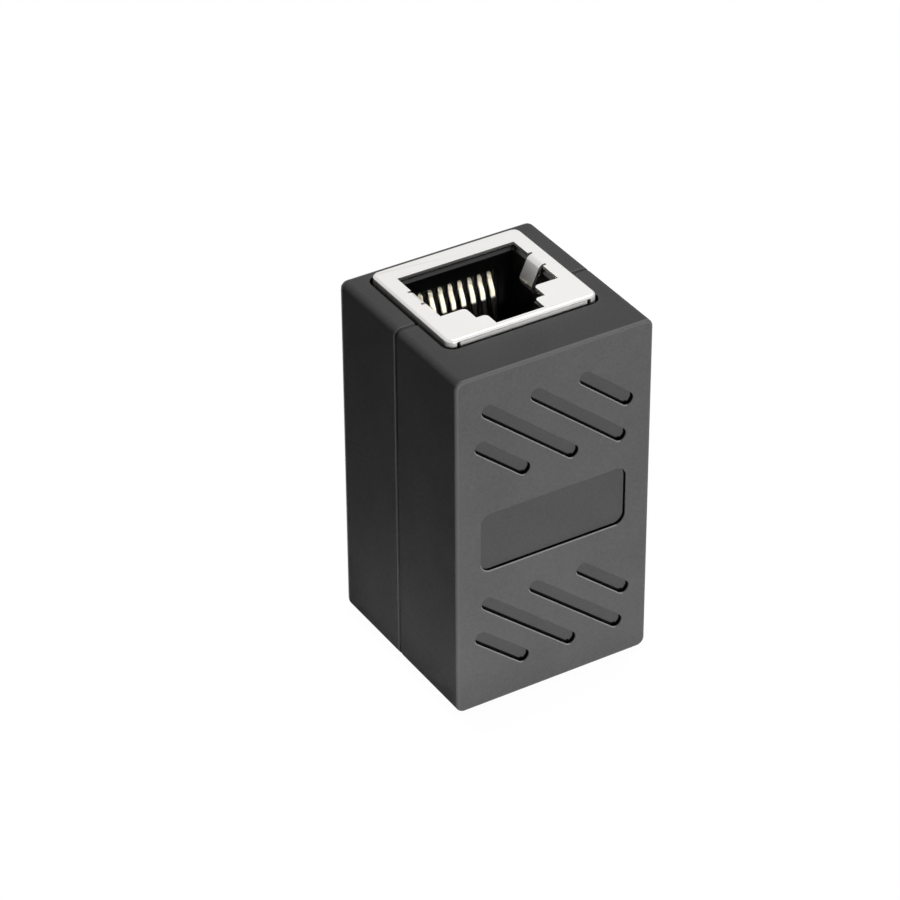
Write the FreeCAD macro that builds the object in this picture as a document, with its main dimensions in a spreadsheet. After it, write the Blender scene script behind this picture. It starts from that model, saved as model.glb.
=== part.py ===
import FreeCAD, Part
import math
import os
import re
import Sketcher

# Inline coupler for two network plugs: a plastic sleeve of two shells round two shielded modular
# jacks, which stand back to back on one small circuit board. Every piece is drawn about the centre
# of the board with its mouth up, then lifted so that the lower bezel face lies at zero height.
# The grooved and recessed face looks along -Y. Lengths are millimetres and angles are degrees.
SIZES = {
    # stepped port in the metal face, measured from the axis of the coupler
    "port_width": 12.0,
    "port_back": 6.35,
    "port_front": 0.95,
    "port_depth": 12.3,
    "step_width": 7.0,
    "step_rise": 1.8,
    "slot_width": 4.9,
    "slot_rise": 1.6,
    "port_radius": 0.4,
    # folded metal shield of each jack
    "bezel_side": 1.6,
    "bezel_back": 2.05,
    "bezel_front": 0.65,
    "bezel_proud": 0.65,
    "shield_sheet": 0.3,
    "shield_radius": 0.8,
    "shield_bevel": 0.18,
    "shield_lift": 0.7,
    "relief_inset": 0.8,
    "relief_width": 0.35,
    "leg_width": 1.2,
    "leg_place": 2.0,
    "leg_tip": 0.4,
    # grounding springs at both sides of the port
    "tab_width": 2.0,
    "tab_place": 2.75,
    "tab_relief": 0.25,
    "tab_root": 0.2,
    "tab_reach": 0.9,
    "tab_knee": 2.1,
    "tab_end": 2.75,
    "tab_return": 0.35,
    "tab_bend": 0.5,
    "tab_gap": 0.38,
    # plastic sleeve
    "side_margin": 2.1,
    "front_margin": 4.7,
    "back_margin": 1.3,
    "shield_gap": 0.3,
    "shell_wall": 1.5,
    "end_wall": 1.6,
    "corner_radius": 0.8,
    "front_chamfer": 0.15,
    "rear_chamfer": 0.55,
    "seam_chamfer": 0.22,
    "tongue_thick": 0.7,
    "tongue_height": 0.9,
    "tongue_clearance": 0.1,
    # grip grooves and the bare recessed panel
    "grip_width": 1.25,
    "grip_depth": 0.5,
    "grip_pitch": 4.95,
    "grip_angle": 39.5,
    "grip_field_width": 14.9,
    "grip_field_height": 7.1,
    "grip_field_place": 10.1,
    "panel_width": 15.0,
    "panel_height": 6.0,
    "panel_depth": 0.4,
    "panel_radius": 1.0,
    # ribs that hold the shields and the board
    "rib_thick": 1.2,
    "rib_root": 0.3,
    "rib_clearance": 0.12,
    "front_rib_place": 4.0,
    "front_guide_place": 3.0,
    "rear_guide_place": 5.0,
    # plastic housing of each jack
    "housing_clearance": 0.1,
    "housing_lift": 1.4,
    "housing_chamfer": 0.3,
    "port_lip": 0.05,
    "mouth_chamfer": 0.45,
    "tab_pocket": 0.55,
    "tab_pocket_margin": 0.25,
    "window_depth": 2.2,
    "window_margin": 0.35,
    "floor_thick": 0.5,
    "core_wall": 1.2,
    "foot_width": 2.0,
    "foot_inset": 0.25,
    "front_foot_place": 2.4,
    "rear_foot_place": 6.2,
    "peg_corner": 0.8,
    "peg_length": 0.7,
    # insert that carries the contacts
    "insert_base": 3.1,
    "insert_toe": 0.8,
    "insert_clearance": 0.05,
    "comb_depth": 8.0,
    "comb_clearance": 0.09,
    # spring contacts
    "contact_pitch": 1.016,
    "contact_width": 0.45,
    "contact_thick": 0.25,
    "contact_clearance": 0.03,
    "crown_recess": 0.2,
    "crown_width": 0.7,
    "crown_depth": 2.55,
    "crown_bend": 0.33,
    "wipe_start": 3.1,
    "wipe_knee": 4.15,
    "wipe_end": 10.0,
    "wipe_reach": 0.55,
    "tip_reach": 1.9,
    "wipe_bend": 0.3,
    "row_spacing": 2.54,
    "jog_rise": 0.2,
    "jog_angle": 45.0,
    "jog_bend": 0.4,
    "tail_out": 0.6,
    # circuit board
    "board_thick": 1.6,
    "board_lip": 1.2,
    "board_gap": 0.1,
    "board_clearance": 0.05,
    "hole_width": 0.64,
}

# Places that follow from the sizes, as formulas. Heights are above the middle of the board.
BOARD_TOP = "(board_thick / 2)"
HOUSING_FOOT = f"({BOARD_TOP} + housing_lift)"
INSERT_TOP = f"({HOUSING_FOOT} + insert_base)"
PORT_FLOOR = f"({INSERT_TOP} + insert_clearance + floor_thick)"
MOUTH = f"({PORT_FLOOR} + port_depth)"
SHIELD_FOOT = f"({BOARD_TOP} + shield_lift)"
END_FACE = f"({MOUTH} - bezel_proud)"
END_INSIDE = f"({END_FACE} - end_wall)"

STEP_FRONT = "(port_front + step_rise)"
SLOT_FRONT = f"({STEP_FRONT} + slot_rise)"
SHIELD_SIDE = "(port_width / 2 + bezel_side)"
SHIELD_BACK = "(port_back + bezel_back)"
SHIELD_FRONT = f"({SLOT_FRONT} + bezel_front)"
HOUSING_SIDE = f"({SHIELD_SIDE} - shield_sheet - housing_clearance)"
HOUSING_BACK = f"({SHIELD_BACK} - shield_sheet - housing_clearance)"
HOUSING_FRONT = f"({SHIELD_FRONT} - shield_sheet - housing_clearance)"
HOUSING_TOP = f"({MOUTH} - shield_sheet - insert_clearance)"
PORT_SIDE = "(port_width / 2 - port_lip)"
PORT_BACK = "(port_back - port_lip)"
BODY_SIDE = f"({SHIELD_SIDE} + shield_gap + side_margin)"
BODY_BACK = f"({SHIELD_BACK} + shield_gap + back_margin)"
BODY_FRONT = f"({SHIELD_FRONT} + shield_gap + front_margin)"
SIDE_INSIDE = f"({BODY_SIDE} - shell_wall)"
FRONT_INSIDE = f"({BODY_FRONT} - shell_wall)"
BACK_INSIDE = f"({SHIELD_BACK} + rib_clearance)"
FOOT_ACROSS = "(port_width / 2 - foot_inset)"

FRONT_LEG = "(port_back + crown_recess)"
BACK_LEG = f"({FRONT_LEG} + crown_width)"
INNER_ROW = f"({BACK_LEG} - row_spacing)"
CROWN = f"({MOUTH} - crown_depth - contact_thick / 2)"
CROWN_SEAT = f"({CROWN} - crown_bend - comb_clearance)"
JOG_FOOT = f"({HOUSING_FOOT} + jog_rise)"
JOG_TOP = f"({JOG_FOOT} + row_spacing / tan(jog_angle))"
INSERT_FRONT = f"({INNER_ROW} - insert_toe)"
WINDOW_TOP = f"({MOUTH} - window_depth)"
BOARD_FRONT = f"({SHIELD_FRONT} + board_lip)"
BOARD_SIDE = f"({SIDE_INSIDE} - board_gap)"
BOARD_BACK = f"({BACK_INSIDE} - board_gap)"

CONTACT_COUNT = 8
WINDOW_SIDE = f"(contact_pitch * {CONTACT_COUNT} / 2 + window_margin)"
FIRST_CONTACT = f"(-contact_pitch * {CONTACT_COUNT - 1} / 2)"
ROW_LENGTH = f"(contact_pitch * {CONTACT_COUNT - 1})"

# A cut that opens into air runs this far past the face it starts from.
OVERCUT = "0.2"
BOTH_SIDES = (-1, 1)
SIXTH_TURN = "60"
SAME_PLACE = 1e-6
LEAST_CUT = 1e-4
UP = FreeCAD.Vector(0, 0, 1)
ACROSS_DEPTH = FreeCAD.Vector(0, 1, 0)

doc = FreeCAD.newDocument("coupler")
sheet = doc.addObject("Spreadsheet::Sheet", "sizes")
for row, (word, value) in enumerate(SIZES.items(), start=1):
    sheet.set(f"A{row}", word)
    sheet.set(f"B{row}", str(value))
    sheet.setAlias(f"B{row}", word)
doc.recompute()

SIZE_WORD = re.compile(r"\b(" + "|".join(SIZES) + r")\b")


def bound(formula):
    """The formula with each size read from its cell in the sheet."""
    return SIZE_WORD.sub(r"sizes.\1", formula)


def amount(formula):
    """The number that a formula gives now."""
    return float(sheet.evalExpression(bound(formula)))


def new_piece(name, turn=0.0):
    """An empty body, turned about the depth axis and lifted to its height in the coupler."""
    body = doc.addObject("PartDesign::Body", name)
    body.Label = name
    body.Placement = FreeCAD.Placement(FreeCAD.Vector(), FreeCAD.Rotation(ACROSS_DEPTH, turn))
    body.setExpression("Placement.Base.z", bound(MOUTH))
    return body


def new_sketch(body, name, plane, place="0"):
    """A sketch on one of the body's own planes, moved along that plane's normal."""
    sketch = body.newObject("Sketcher::SketchObject", name)
    role = plane + "_Plane"
    origin_plane = next(part for part in body.Origin.OriginFeatures if part.Role == role)
    sketch.AttachmentSupport = (origin_plane, [""])
    sketch.MapMode = "FlatFace"
    sketch.setExpression("AttachmentOffset.Base.z", bound(place))
    return sketch


def tie(sketch, kind, *where, formula):
    """A dimension in a sketch whose value is a formula of the sizes."""
    index = sketch.addConstraint(Sketcher.Constraint(kind, *where, amount(formula)))
    sketch.setExpression(f"Constraints[{index}]", bound(formula))


def tie_point(sketch, geometry, end, across, along):
    """Both places of a point, measured from the sketch's own origin."""
    tie(sketch, "DistanceX", -1, 1, geometry, end, formula=across)
    tie(sketch, "DistanceY", -1, 1, geometry, end, formula=along)


def corner_arc(before, corner, after, radius):
    """Where an arc leaves and meets the two edges at a corner, its centre and its turning side."""
    arriving = (corner - before).normalize()
    leaving = (after - corner).normalize()
    turn = arriving.cross(leaving).dot(UP)
    half = arriving.getAngle(leaving) / 2
    reach = radius * math.tan(half)
    first = corner - arriving * reach
    last = corner + leaving * reach
    centre = first + UP.cross(arriving) * math.copysign(radius, turn)
    return first, last, centre, turn > 0


def outline(sketch, corners, closed=True):
    """Straight edges from corner to corner, with an arc wherever a corner gives a radius."""
    count = len(corners)
    points = [FreeCAD.Vector(amount(item[0]), amount(item[1]), 0) for item in corners]
    radii = [item[2] if len(item) > 2 else None for item in corners]
    arcs = {}
    for index, radius in enumerate(radii):
        if radius is not None:
            before = points[index - 1]
            after = points[(index + 1) % count]
            arcs[index] = corner_arc(before, points[index], after, amount(radius))
    edges = []
    for index in range(count if closed else count - 1):
        following = (index + 1) % count
        start = arcs[index][1] if index in arcs else points[index]
        end = arcs[following][0] if following in arcs else points[following]
        edges.append(sketch.addGeometry(Part.LineSegment(start, end)))
    for index, corner in enumerate(corners):
        across, along = corner[0], corner[1]
        inner_corner = closed or 0 < index < count - 1
        if not inner_corner:
            edge, end = (edges[0], 1) if index == 0 else (edges[-1], 2)
            tie_point(sketch, edge, end, across, along)
            continue
        arriving, leaving = edges[index - 1], edges[index]
        if index not in arcs:
            sketch.addConstraint(Sketcher.Constraint("Coincident", arriving, 2, leaving, 1))
            tie_point(sketch, leaving, 1, across, along)
            continue
        first, last, centre, leftward = arcs[index]
        opening, closing = (first, last) if leftward else (last, first)
        circle = Part.Circle(centre, UP, (first - centre).Length)
        start_angle = circle.parameter(opening)
        end_angle = circle.parameter(closing)
        if end_angle < start_angle:
            end_angle += 2 * math.pi
        arc = sketch.addGeometry(Part.ArcOfCircle(circle, start_angle, end_angle))
        entry, way_out = (1, 2) if leftward else (2, 1)
        sketch.addConstraint(Sketcher.Constraint("Tangent", arriving, 2, arc, entry))
        sketch.addConstraint(Sketcher.Constraint("Tangent", arc, way_out, leaving, 1))
        mark = sketch.addGeometry(Part.Point(points[index]), True)
        sketch.addConstraint(Sketcher.Constraint("PointOnObject", mark, 1, arriving))
        sketch.addConstraint(Sketcher.Constraint("PointOnObject", mark, 1, leaving))
        tie_point(sketch, mark, 1, across, along)
        tie(sketch, "Radius", arc, formula=radii[index])


def box_outline(sketch, left, right, low, high, radius=None):
    """A rectangle between four places, with all corners rounded where a radius is given."""
    rounding = () if radius is None else (radius,)
    places = ((left, low), (right, low), (right, high), (left, high))
    outline(sketch, [place + rounding for place in places])


def chamfered_box_outline(sketch, side, front, back, cut):
    """A rectangle about the axis with its four corners cut off at 45 degrees."""
    outline(sketch, [
        (f"-({side} - {cut})", f"-{front}"),
        (f"{side} - {cut}", f"-{front}"),
        (side, f"-({front} - {cut})"),
        (side, f"{back} - {cut}"),
        (f"{side} - {cut}", back),
        (f"-({side} - {cut})", back),
        (f"-{side}", f"{back} - {cut}"),
        (f"-{side}", f"-({front} - {cut})"),
    ])


def hexagon_outline(sketch, across, along, corner):
    """A hexagon about a place, with two corners level with its centre."""
    level = f"({corner} * cos({SIXTH_TURN}))"
    rise = f"({corner} * sin({SIXTH_TURN}))"
    outline(sketch, [
        (f"{across} + {corner}", along),
        (f"{across} + {level}", f"{along} + {rise}"),
        (f"{across} - {level}", f"{along} + {rise}"),
        (f"{across} - {corner}", along),
        (f"{across} - {level}", f"{along} - {rise}"),
        (f"{across} + {level}", f"{along} - {rise}"),
    ])


def circle_outline(sketch, across, along, radius):
    """A circle about a place."""
    centre = FreeCAD.Vector(amount(across), amount(along), 0)
    circle = sketch.addGeometry(Part.Circle(centre, UP, amount(radius)))
    tie_point(sketch, circle, 3, across, along)
    tie(sketch, "Radius", circle, formula=radius)


def groove_outline(sketch, start, end, width):
    """A straight groove with round ends, drawn about its two end centres."""
    radius = f"({width}) / 2"
    first = FreeCAD.Vector(amount(start[0]), amount(start[1]), 0)
    second = FreeCAD.Vector(amount(end[0]), amount(end[1]), 0)
    way = (second - first).normalize()
    side = UP.cross(way) * amount(radius)
    heading = math.atan2(way.y, way.x)
    quarter = math.pi / 2
    near = Part.Circle(first, UP, amount(radius))
    far = Part.Circle(second, UP, amount(radius))
    near_arc = sketch.addGeometry(Part.ArcOfCircle(near, heading + quarter, heading + 3 * quarter))
    far_arc = sketch.addGeometry(Part.ArcOfCircle(far, heading - quarter, heading + quarter))
    right = sketch.addGeometry(Part.LineSegment(first - side, second - side))
    left = sketch.addGeometry(Part.LineSegment(second + side, first + side))
    sketch.addConstraint(Sketcher.Constraint("Tangent", near_arc, 2, right, 1))
    sketch.addConstraint(Sketcher.Constraint("Tangent", right, 2, far_arc, 1))
    sketch.addConstraint(Sketcher.Constraint("Tangent", far_arc, 2, left, 1))
    sketch.addConstraint(Sketcher.Constraint("Tangent", left, 2, near_arc, 1))
    sketch.addConstraint(Sketcher.Constraint("Equal", near_arc, far_arc))
    tie_point(sketch, near_arc, 3, *start)
    tie_point(sketch, far_arc, 3, *end)
    tie(sketch, "Radius", near_arc, formula=radius)


def pad(body, sketch, length, backward=False):
    """Adds the sketch's outline to the body, along the sketch's normal unless it runs backward."""
    feature = body.newObject("PartDesign::Pad", sketch.Name + "_pad")
    feature.Profile = sketch
    feature.setExpression("Length", bound(length))
    feature.Reversed = backward
    doc.recompute()
    return feature


def pocket(body, sketch, depth, along_normal=False):
    """Cuts the sketch's outline out of the body, against the sketch's normal by default."""
    before = body.Shape.Volume
    feature = body.newObject("PartDesign::Pocket", sketch.Name + "_pocket")
    feature.Profile = sketch
    feature.setExpression("Length", bound(depth))
    feature.Reversed = along_normal
    doc.recompute()
    if body.Shape.Volume > before - LEAST_CUT:
        raise ValueError(f"{feature.Name} removes nothing")
    return feature


def row_of(body, feature, sketch, axis, length, count):
    """Copies of a feature in a straight row along one axis of its sketch."""
    row_feature = body.newObject("PartDesign::LinearPattern", feature.Name + "_row")
    row_feature.Originals = [feature]
    row_feature.Direction = (sketch, [axis])
    row_feature.setExpression("Length", bound(length))
    row_feature.Occurrences = count
    body.Tip = row_feature
    doc.recompute()
    return row_feature


def mirrored(body, feature, plane):
    """The same feature again on the other side of one of the body's own planes."""
    mirror = body.newObject("PartDesign::Mirrored", feature.Name + "_mirror")
    mirror.Originals = [feature]
    role = plane + "_Plane"
    origin_plane = next(part for part in body.Origin.OriginFeatures if part.Role == role)
    mirror.MirrorPlane = (origin_plane, [""])
    body.Tip = mirror
    doc.recompute()
    return mirror


def edges_level_with(feature, axis, place, inside=None):
    """Names of the edges that lie wholly at one place along an axis."""
    level = amount(place)
    names = []
    for number, edge in enumerate(feature.Shape.Edges, start=1):
        points = edge.discretize(3)
        level_edge = all(abs(point[axis] - level) < SAME_PLACE for point in points)
        if level_edge and (inside is None or inside(points[1])):
            names.append(f"Edge{number}")
    return names


def bevel_edges(body, feature, names, size, name):
    """Chamfers the named edges."""
    chamfer = body.newObject("PartDesign::Chamfer", name)
    chamfer.Base = (feature, names)
    chamfer.setExpression("Size", bound(size))
    doc.recompute()
    return chamfer


def sweep(body, section, route, name):
    """Adds the section carried along an open route."""
    pipe = body.newObject("PartDesign::AdditivePipe", name)
    pipe.Profile = section
    route_edges = [f"Edge{number}" for number in range(1, len(route.Shape.Edges) + 1)]
    pipe.Spine = (route, route_edges)
    doc.recompute()
    return pipe


def stepped_port(side, back, front, step_side, step_front, slot_side, slot_front, radius=None):
    """Corners of the port seen from its mouth: a wide bay and two steps for the plug's latch.

    A radius rounds the four corners that point into the port."""
    rounding = () if radius is None else (radius,)
    right_half = [
        (slot_side, f"-{slot_front}"),
        (slot_side, f"-{step_front}") + rounding,
        (step_side, f"-{step_front}"),
        (step_side, f"-{front}") + rounding,
        (side, f"-{front}"),
        (side, back),
    ]
    left_half = [(f"-{corner[0]}",) + corner[1:] for corner in reversed(right_half)]
    return right_half + left_half


def grip_grooves(body, side, hand, face):
    """Two sets of four slanting grooves, cut off by the field that they fill."""
    sketch = new_sketch(body, body.Name + "_grip", "XZ", face)
    rise = "(grip_field_height / 2)"
    run = f"({rise} / tan(grip_angle))"
    low = f"(-grip_field_place - {rise})"
    high = f"(-grip_field_place + {rise})"
    edge = "(grip_field_width / 2)"
    outer_line = "(1.5 * grip_pitch)"
    inner_line = "(0.5 * grip_pitch)"
    short_rise = f"(({edge} - {outer_line}) * tan(grip_angle))"
    grooves = [
        ((f"-{edge}", f"-grip_field_place + {short_rise}"), (f"-{outer_line} + {run}", low)),
        ((f"-{inner_line} - {run}", high), (f"-{inner_line} + {run}", low)),
        ((f"{inner_line} - {run}", high), (f"{inner_line} + {run}", low)),
        ((f"{outer_line} - {run}", high), (edge, f"-grip_field_place - {short_rise}")),
    ]
    for start, end in grooves:
        turned_start = (f"{hand} * ({start[0]})", start[1])
        turned_end = (f"{hand} * ({end[0]})", end[1])
        groove_outline(sketch, turned_start, turned_end, "grip_width")
    cut = pocket(body, sketch, "grip_depth", along_normal=side > 0)
    return row_of(body, cut, sketch, "V_Axis", "2 * grip_field_place", 2)


def shell(name, side, outer_face, inner_face):
    """One moulded half of the sleeve, from the seam to its outer face."""
    body = new_piece(name)
    rear = side > 0
    face = f"-{outer_face}" if rear else outer_face
    blank_outline = new_sketch(body, name + "_blank", "XZ")
    box_outline(blank_outline, f"-{BODY_SIDE}", BODY_SIDE, f"-{END_FACE}", END_FACE, "corner_radius")
    blank = pad(body, blank_outline, outer_face, backward=rear)

    outer_edges = edges_level_with(blank, 1, f"{side} * {outer_face}")
    face_size = "rear_chamfer" if rear else "front_chamfer"
    faced = bevel_edges(body, blank, outer_edges, face_size, name + "_face_edge")
    bevel_edges(body, faced, edges_level_with(faced, 1, "0"), "seam_chamfer", name + "_seam")

    room = new_sketch(body, name + "_room", "XZ")
    box_outline(room, f"-{SIDE_INSIDE}", SIDE_INSIDE, f"-{END_INSIDE}", END_INSIDE)
    pocket(body, room, inner_face, along_normal=not rear)

    opening = new_sketch(body, name + "_opening", "XY", END_FACE)
    opening_side = f"({SHIELD_SIDE} + shield_gap)"
    box_outline(opening, f"-{opening_side}", opening_side,
                f"-({SHIELD_FRONT} + shield_gap)", f"{SHIELD_BACK} + shield_gap",
                "shield_radius + shield_gap")
    mirrored(body, pocket(body, opening, f"end_wall + {OVERCUT}"), "XY")
    grip_grooves(body, side, -side, face)
    return body


def side_ribs(body, near, far):
    """Upright ribs on both side walls, which steady the shields."""
    sketch = new_sketch(body, body.Name + "_guides", "XY", f"-{END_INSIDE}")
    for hand in BOTH_SIDES:
        inner = f"{hand} * ({SHIELD_SIDE} + rib_clearance)"
        outer = f"{hand} * ({SIDE_INSIDE} + rib_root)"
        left, right = (outer, inner) if hand < 0 else (inner, outer)
        box_outline(sketch, left, right, near, far)
    return pad(body, sketch, f"2 * {END_INSIDE}")


def board_notch(body, reach, along_normal):
    """The notch across all ribs that grips the edge of the board."""
    sketch = new_sketch(body, body.Name + "_notch", "XZ")
    height = f"({BOARD_TOP} + board_clearance)"
    box_outline(sketch, f"-{SIDE_INSIDE}", SIDE_INSIDE, f"-{height}", height)
    return pocket(body, sketch, reach, along_normal=along_normal)


def seam_strip(body, name, inner, thick, low, height, half_length):
    """Two upright strips beside the seam, drawn for the tongue and for its groove."""
    sketch = new_sketch(body, name, "XY", f"-({half_length})")
    for hand in BOTH_SIDES:
        near = f"{hand} * ({inner})"
        far = f"{hand} * ({SIDE_INSIDE} + {thick})"
        left, right = (far, near) if hand < 0 else (near, far)
        box_outline(sketch, left, right, low, height)
    return sketch


def front_shell():
    """The half with the bare panel, the tongue and the ribs behind the shields' front."""
    body = shell("front_shell", -1, BODY_FRONT, FRONT_INSIDE)
    panel = new_sketch(body, "panel_recess", "XZ", BODY_FRONT)
    box_outline(panel, "-panel_width / 2", "panel_width / 2",
                "-panel_height / 2", "panel_height / 2", "panel_radius")
    pocket(body, panel, "panel_depth")

    ribs = new_sketch(body, "front_ribs", "XY", f"-{END_INSIDE}")
    for hand in BOTH_SIDES:
        middle = f"{hand} * front_rib_place"
        box_outline(ribs, f"{middle} - rib_thick / 2", f"{middle} + rib_thick / 2",
                    f"-({FRONT_INSIDE} + rib_root)", f"-({SHIELD_FRONT} + rib_clearance)")
    pad(body, ribs, f"2 * {END_INSIDE}")
    side_ribs(body, "-front_guide_place - rib_thick / 2", "-front_guide_place + rib_thick / 2")
    board_notch(body, f"{BOARD_FRONT} + board_clearance", along_normal=True)

    tongue = seam_strip(body, "tongue", SIDE_INSIDE, "tongue_thick", "-tongue_height",
                        "tongue_height", END_INSIDE)
    pad(body, tongue, f"2 * {END_INSIDE}")
    return body


def rear_shell():
    """The plain half, whose side walls take the tongue."""
    body = shell("rear_shell", 1, BODY_BACK, BACK_INSIDE)
    side_ribs(body, "rear_guide_place - rib_thick / 2", "rear_guide_place + rib_thick / 2")
    board_notch(body, BACK_INSIDE, along_normal=False)
    half_length = f"{END_INSIDE} + tongue_clearance"
    groove = seam_strip(body, "tongue_groove", f"{SIDE_INSIDE} - {OVERCUT}",
                        "tongue_thick + tongue_clearance", f"-{OVERCUT}",
                        "tongue_height + tongue_clearance", half_length)
    pocket(body, groove, f"2 * ({half_length})", along_normal=True)
    return body


def shield(jack, turn):
    """The folded metal shield: the bezel with its port, four walls, board legs and springs."""
    body = new_piece(jack + "_shield", turn)
    blank_outline = new_sketch(body, jack + "_shield_blank", "XY", SHIELD_FOOT)
    box_outline(blank_outline, f"-{SHIELD_SIDE}", SHIELD_SIDE, f"-{SHIELD_FRONT}", SHIELD_BACK,
                "shield_radius")
    blank = pad(body, blank_outline, f"{MOUTH} - {SHIELD_FOOT}")
    rim = edges_level_with(blank, 2, MOUTH)
    bevel_edges(body, blank, rim, "shield_bevel", jack + "_shield_rim")

    hollow = new_sketch(body, jack + "_shield_hollow", "XY", SHIELD_FOOT)
    inner_side = f"({SHIELD_SIDE} - shield_sheet)"
    box_outline(hollow, f"-{inner_side}", inner_side, f"-({SHIELD_FRONT} - shield_sheet)",
                f"{SHIELD_BACK} - shield_sheet", "shield_radius - shield_sheet")
    pocket(body, hollow, f"{MOUTH} - {SHIELD_FOOT} - shield_sheet", along_normal=True)

    port = new_sketch(body, jack + "_shield_port", "XY", MOUTH)
    outline(port, stepped_port("(port_width / 2)", "port_back", "port_front",
                               "(step_width / 2)", STEP_FRONT,
                               "(slot_width / 2)", SLOT_FRONT, "port_radius"))
    pocket(body, port, f"shield_sheet + {OVERCUT}")

    spring_gap = new_sketch(body, jack + "_spring_gap", "XY", MOUTH)
    gap_side = "(port_width / 2 + tab_gap)"
    half_gap = "(tab_width / 2 + tab_relief)"
    box_outline(spring_gap, f"-{gap_side}", gap_side,
                f"tab_place - {half_gap}", f"tab_place + {half_gap}")
    pocket(body, spring_gap, f"shield_sheet + {OVERCUT}")

    relief = new_sketch(body, jack + "_corner_relief", "XY", SHIELD_FOOT)
    for hand in BOTH_SIDES:
        outer = f"{hand} * ({SHIELD_SIDE} - relief_inset)"
        inner = f"{hand} * ({SHIELD_SIDE} - relief_inset - relief_width)"
        left, right = (outer, inner) if hand < 0 else (inner, outer)
        box_outline(relief, left, right, f"-({SHIELD_FRONT} + {OVERCUT})",
                    f"-({SHIELD_FRONT} - shield_sheet)")
    pocket(body, relief, f"{MOUTH} - {SHIELD_FOOT} - shield_sheet", along_normal=True)

    legs = new_sketch(body, jack + "_legs", "XY", SHIELD_FOOT)
    for hand in BOTH_SIDES:
        outer = f"{hand} * {SHIELD_SIDE}"
        inner = f"{hand} * ({SHIELD_SIDE} - shield_sheet)"
        left, right = (outer, inner) if hand < 0 else (inner, outer)
        middle = f"{hand} * leg_place"
        box_outline(legs, left, right, f"{middle} - leg_width / 2", f"{middle} + leg_width / 2")
    pad(body, legs, "shield_lift + board_thick + leg_tip", backward=True)
    spring = grounding_spring(body, jack)
    mirrored(body, spring, "YZ")
    return body


def grounding_spring(body, jack):
    """A strip of the bezel folded down into the port, bowed in and out again at its end."""
    root = "(port_width / 2 + tab_gap + tab_root)"
    middle = f"({MOUTH} - shield_sheet / 2)"
    section = new_sketch(body, jack + "_spring_section", "YZ", root)
    box_outline(section, "tab_place - tab_width / 2", "tab_place + tab_width / 2",
                f"{MOUTH} - shield_sheet", MOUTH)
    route = new_sketch(body, jack + "_spring_route", "XZ", "-tab_place")
    fold = "(port_width / 2)"
    outline(route, [
        (root, middle),
        (fold, middle, "tab_bend"),
        (f"{fold} - tab_reach", f"{MOUTH} - tab_knee", "tab_bend"),
        (f"{fold} - tab_reach + tab_return", f"{MOUTH} - tab_end"),
    ], closed=False)
    doc.recompute()
    return sweep(body, section, route, jack + "_spring")


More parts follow.
